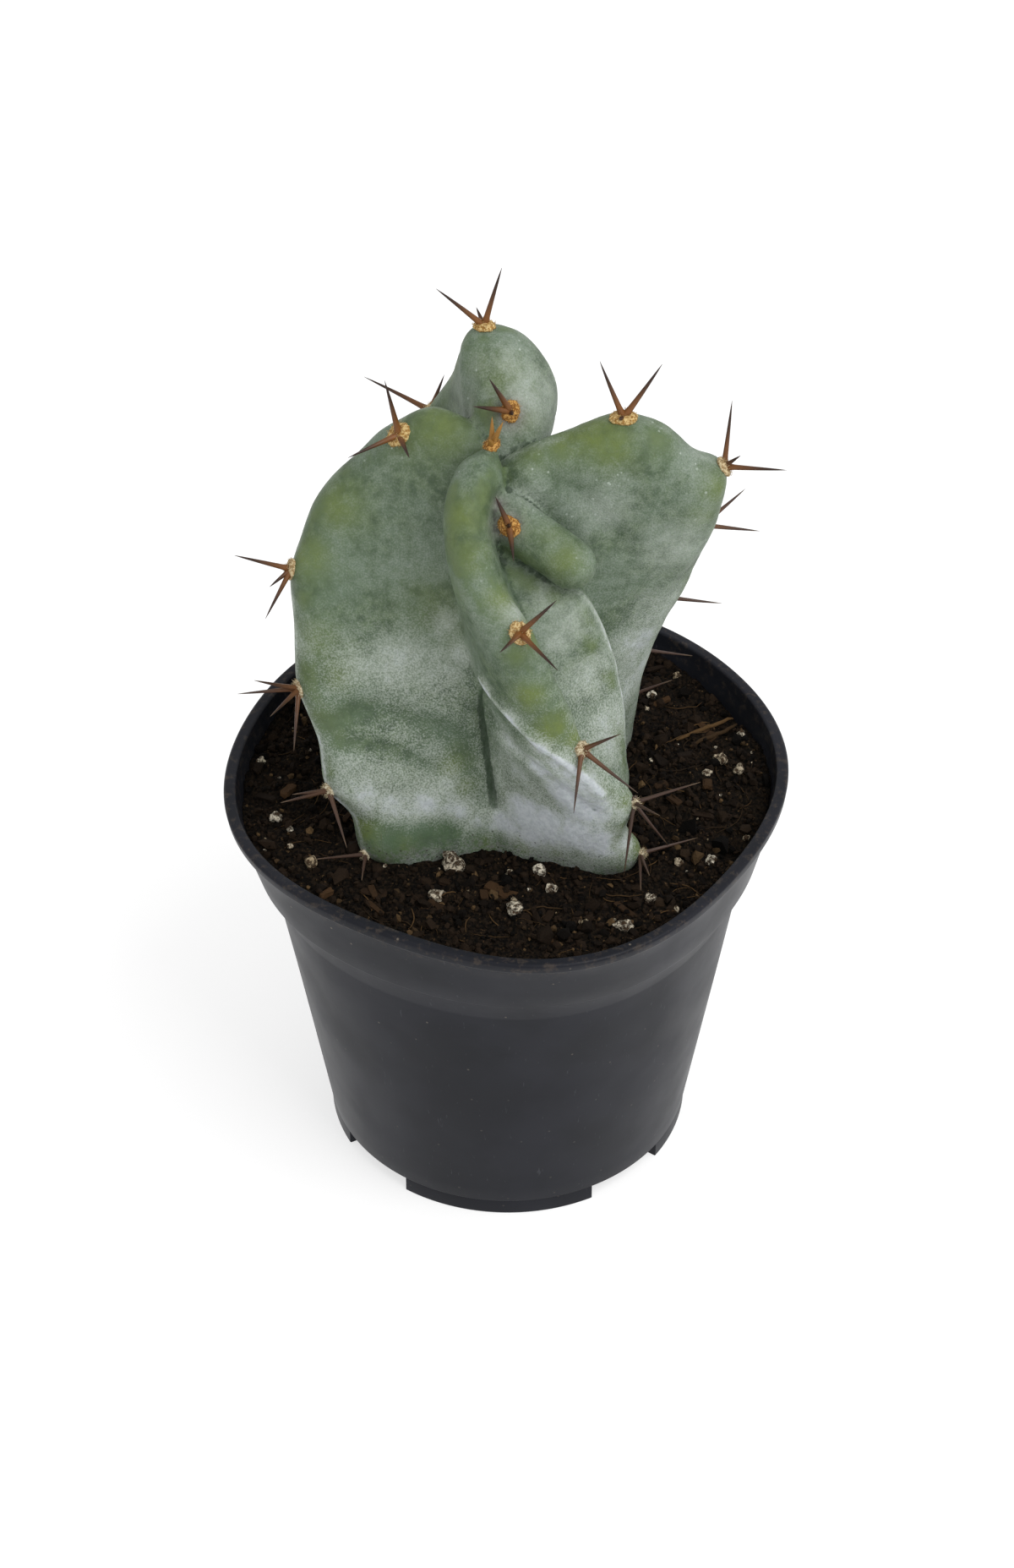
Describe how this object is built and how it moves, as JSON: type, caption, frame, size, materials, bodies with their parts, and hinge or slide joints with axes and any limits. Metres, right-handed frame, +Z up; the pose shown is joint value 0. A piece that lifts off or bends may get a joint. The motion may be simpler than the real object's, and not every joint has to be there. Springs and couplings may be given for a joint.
{
  "type": "potted ribbed cactus",
  "caption": "Stout ribbed cactus with wavy, twisted ribs, a side bud and sparse spines, standing in potting soil in a round tapered nursery pot with a collar.",
  "frame": {"origin": "centre of the pot's foot ring, on the surface that it stands on", "axes": "+Z up; +Y away from the viewer of the picture, so -Y is the side that shows the bud; +X to the viewer's right"},
  "size_m": [0.105, 0.1058, 0.1806],
  "materials": {
    "pot": "satin",
    "soil": "matte",
    "cactus": "matte"
  },
  "bodies": {
    "root": {"pot": "pot", "soil": "soil", "cactus": "cactus"}
  },
  "joints": []
}
